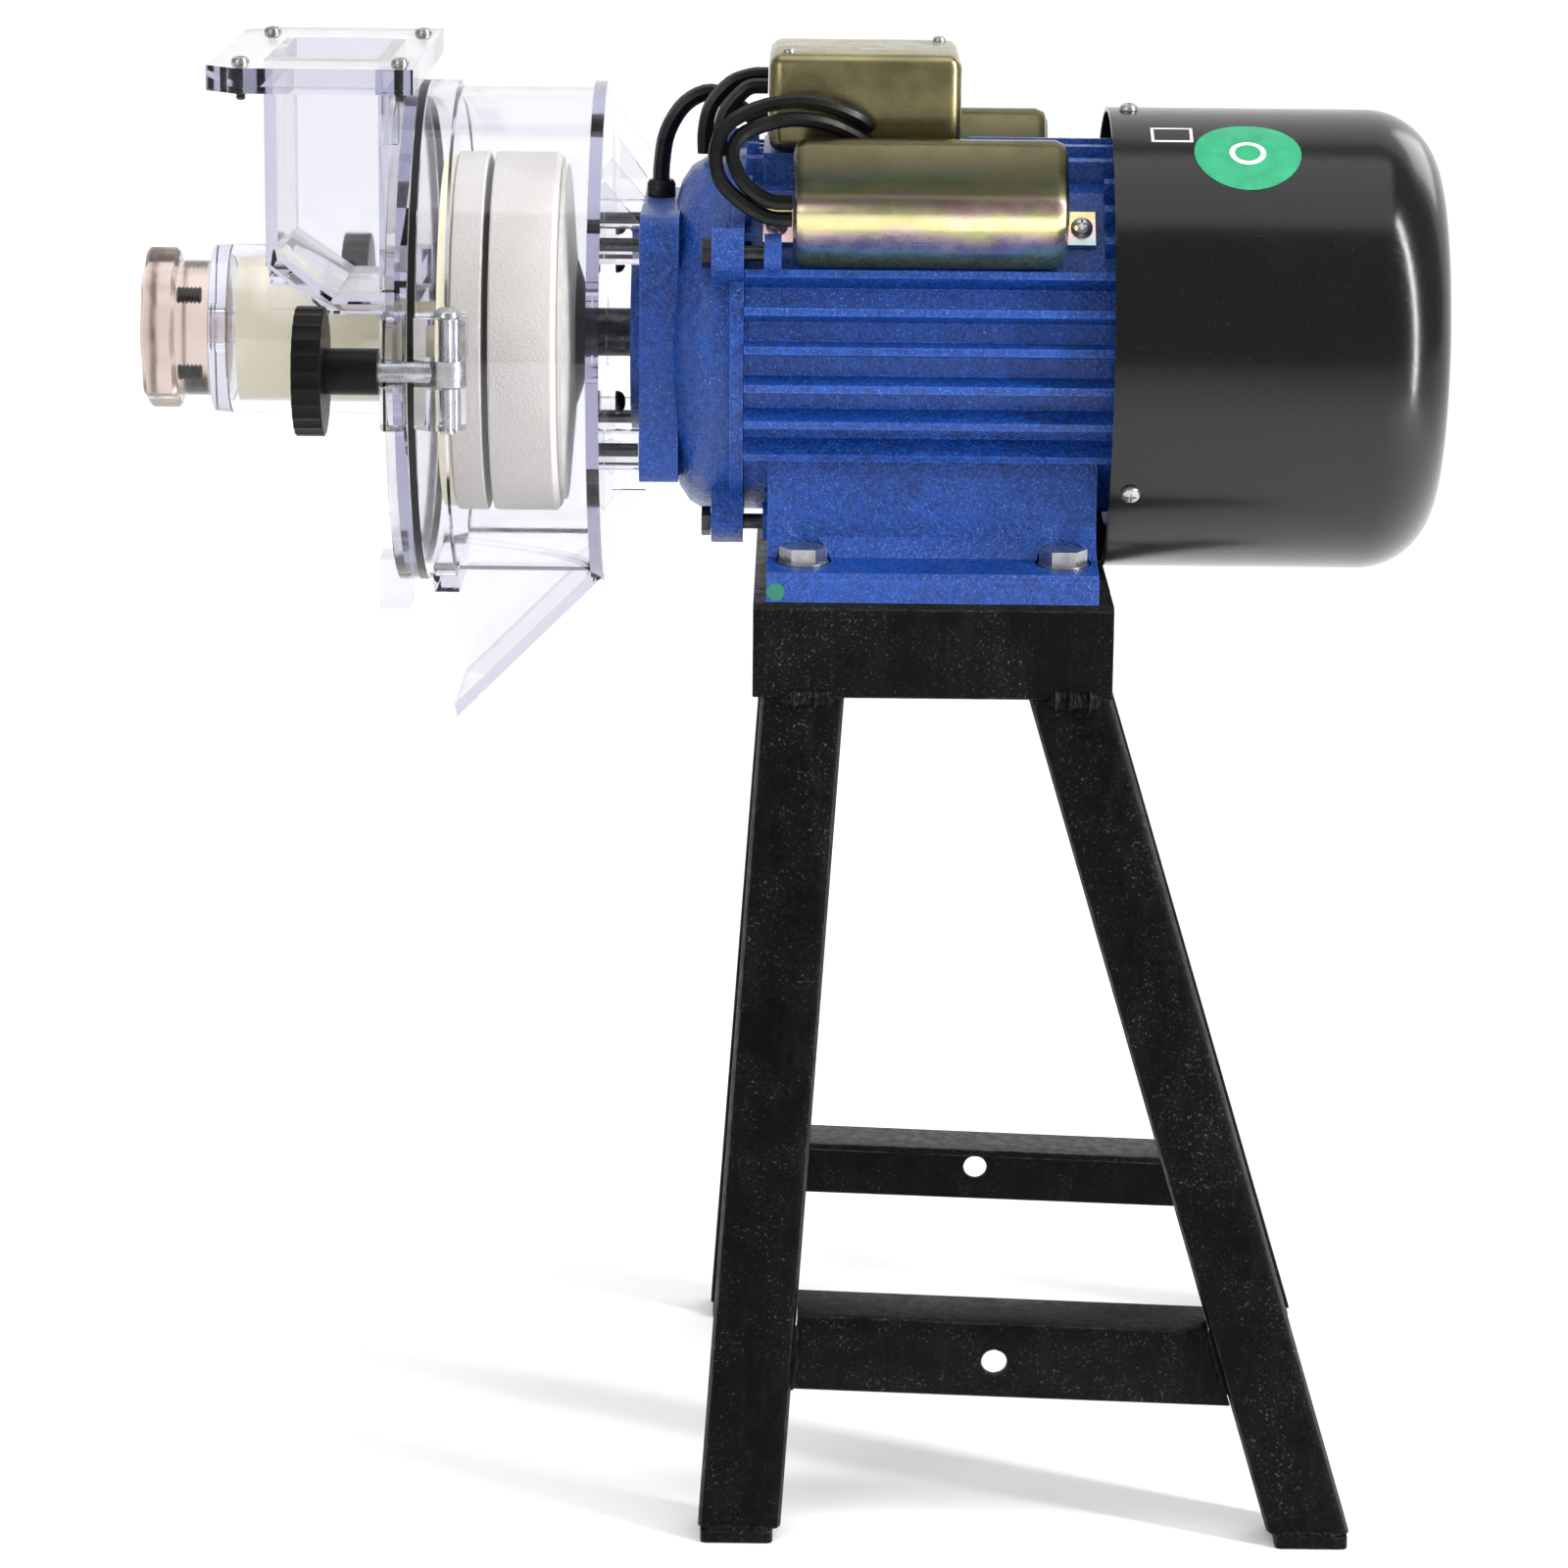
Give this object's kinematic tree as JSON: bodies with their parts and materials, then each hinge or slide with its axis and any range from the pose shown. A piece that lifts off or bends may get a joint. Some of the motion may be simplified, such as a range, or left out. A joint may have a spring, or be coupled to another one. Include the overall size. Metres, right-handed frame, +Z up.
{
  "type": "electric stone grain mill",
  "caption": "Small motor-driven stone mill for wet and dry grain: clear drum, feed throat and spout, adjusting knob, swing-bolt clamps and a splayed welded stand.",
  "frame": {"origin": "middle of the machine's box at floor level", "axes": "+X along the motor shaft from the feed end to the fan, +Z up, -Y the side with the near capacitor cover"},
  "size_m": [0.506, 0.294, 0.563],
  "materials": {
    "stand_paint": "satin black paint over mill scale",
    "motor_paint": "semi-gloss blue paint over rough casting",
    "gloss_black_paint": "gloss black",
    "black_plastic": "satin",
    "laminations": "varnished",
    "dark_steel": "blackened",
    "bright_steel": "zinc plated",
    "yellow_tin": "yellow passivated, iridescent",
    "black_rubber": "satin",
    "clear_plastic": "clear, polished",
    "tinted_plastic": "tinted clear",
    "ivory_plastic": "satin",
    "grinding_stone": "rough, open grain"
  },
  "bodies": {
    "base": {"brace_far": "stand_paint", "brace_near": "stand_paint", "cable_gland": "black_rubber", "capacitor_cover_far": "yellow_tin", "capacitor_cover_near": "yellow_tin", "cover_seal": "black_rubber", "end_shield_bolt_lower_far": "dark_steel", "end_shield_bolt_lower_near": "dark_steel", "end_shield_bolt_upper_far": "dark_steel", "end_shield_bolt_upper_near": "dark_steel", "fan_cover": "gloss_black_paint", "foot_bolt_front_far": "bright_steel", "foot_bolt_front_near": "bright_steel", "foot_bolt_rear_far": "bright_steel", "foot_bolt_rear_near": "bright_steel", "foot_plate_front_far": "stand_paint", "foot_plate_front_near": "stand_paint", "foot_plate_rear_far": "stand_paint", "foot_plate_rear_near": "stand_paint", "front_bearing": "bright_steel", "front_end_shield": "motor_paint", "lead_box_left": "black_rubber", "lead_box_right": "black_rubber", "lead_capacitor_inner": "black_rubber", "lead_capacitor_outer": "black_rubber", "lead_winding": "black_rubber", "leg_front_far": "stand_paint", "leg_front_near": "stand_paint", "leg_rear_far": "stand_paint", "leg_rear_near": "stand_paint", "mill_chamber": "clear_plastic", "motor_housing": "motor_paint", "pivot_pin_far": "bright_steel", "pivot_pin_near": "bright_steel", "rear_bearing": "bright_steel", "rear_end_shield": "motor_paint", "stand_rail_far": "stand_paint", "stand_rail_front": "stand_paint", "stand_rail_near": "stand_paint", "stand_rail_rear": "stand_paint", "stator_core": "laminations", "terminal_box": "yellow_tin"},
    "rotor": {"motor_shaft": "dark_steel", "rotor_core": "laminations", "cooling_fan": "black_plastic", "rotating_stone": "grinding_stone", "stone_backing_plate": "dark_steel", "stone_nut": "bright_steel"},
    "cover": {"front_cover": "clear_plastic", "end_cap": "clear_plastic"},
    "adjuster": {"adjuster_knob": "tinted_plastic"},
    "carrier": {"stone_carrier": "ivory_plastic", "fixed_stone": "grinding_stone"},
    "swing_bolt_near": {"swing_bolt_near": "bright_steel"},
    "sleeve_near": {"clamp_sleeve_near": "black_plastic"},
    "clamp_near": {"clamp_knob_near": "black_plastic"},
    "swing_bolt_far": {"swing_bolt_far": "bright_steel"},
    "sleeve_far": {"clamp_sleeve_far": "black_plastic"},
    "clamp_far": {"clamp_knob_far": "black_plastic"}
  },
  "joints": [
    {"name": "rotor_spin", "type": "hinge", "parent": "base", "child": "rotor", "pos_m": [0, 0, 0.45], "axis": [1, 0, 0], "continuous": true},
    {"name": "cover_slide", "type": "slide", "parent": "base", "child": "cover", "axis": [-1, 0, 0], "range_m": [0, 0.008]},
    {"name": "adjuster_turn", "type": "hinge", "parent": "cover", "child": "adjuster", "pos_m": [-0.24, 0, 0.45], "axis": [1, 0, 0], "range_deg": [-540, 360]},
    {"name": "carrier_slide", "type": "slide", "parent": "cover", "child": "carrier", "axis": [1, 0, 0], "range_m": [-0.003, 0.002]},
    {"name": "swing_bolt_near_turn", "type": "hinge", "parent": "base", "child": "swing_bolt_near", "pos_m": [-0.128, -0.108, 0.45], "axis": [0, 0, 1], "range_deg": [0, 100]},
    {"name": "clamp_sleeve_near_slide", "type": "slide", "parent": "swing_bolt_near", "child": "sleeve_near", "axis": [-1, 0, 0], "range_m": [0, 0.008]},
    {"name": "clamp_knob_near_turn", "type": "hinge", "parent": "sleeve_near", "child": "clamp_near", "pos_m": [-0.179, -0.108, 0.45], "axis": [-1, 0, 0], "range_deg": [0, 2304]},
    {"name": "swing_bolt_far_turn", "type": "hinge", "parent": "base", "child": "swing_bolt_far", "pos_m": [-0.128, 0.108, 0.45], "axis": [0, 0, -1], "range_deg": [0, 100]},
    {"name": "clamp_sleeve_far_slide", "type": "slide", "parent": "swing_bolt_far", "child": "sleeve_far", "axis": [-1, 0, 0], "range_m": [0, 0.008]},
    {"name": "clamp_knob_far_turn", "type": "hinge", "parent": "sleeve_far", "child": "clamp_far", "pos_m": [-0.179, 0.108, 0.45], "axis": [-1, 0, 0], "range_deg": [0, 2304]}
  ],
  "couplings": [
    {"joint": "adjuster_turn", "follows": "carrier_slide", "rad_per_m": 3141.6},
    {"joint": "clamp_sleeve_near_slide", "follows": "cover_slide", "ratio": 1},
    {"joint": "clamp_sleeve_far_slide", "follows": "cover_slide", "ratio": 1},
    {"joint": "clamp_knob_near_turn", "follows": "cover_slide", "rad_per_m": 5026.5},
    {"joint": "clamp_knob_far_turn", "follows": "cover_slide", "rad_per_m": 5026.5}
  ]
}
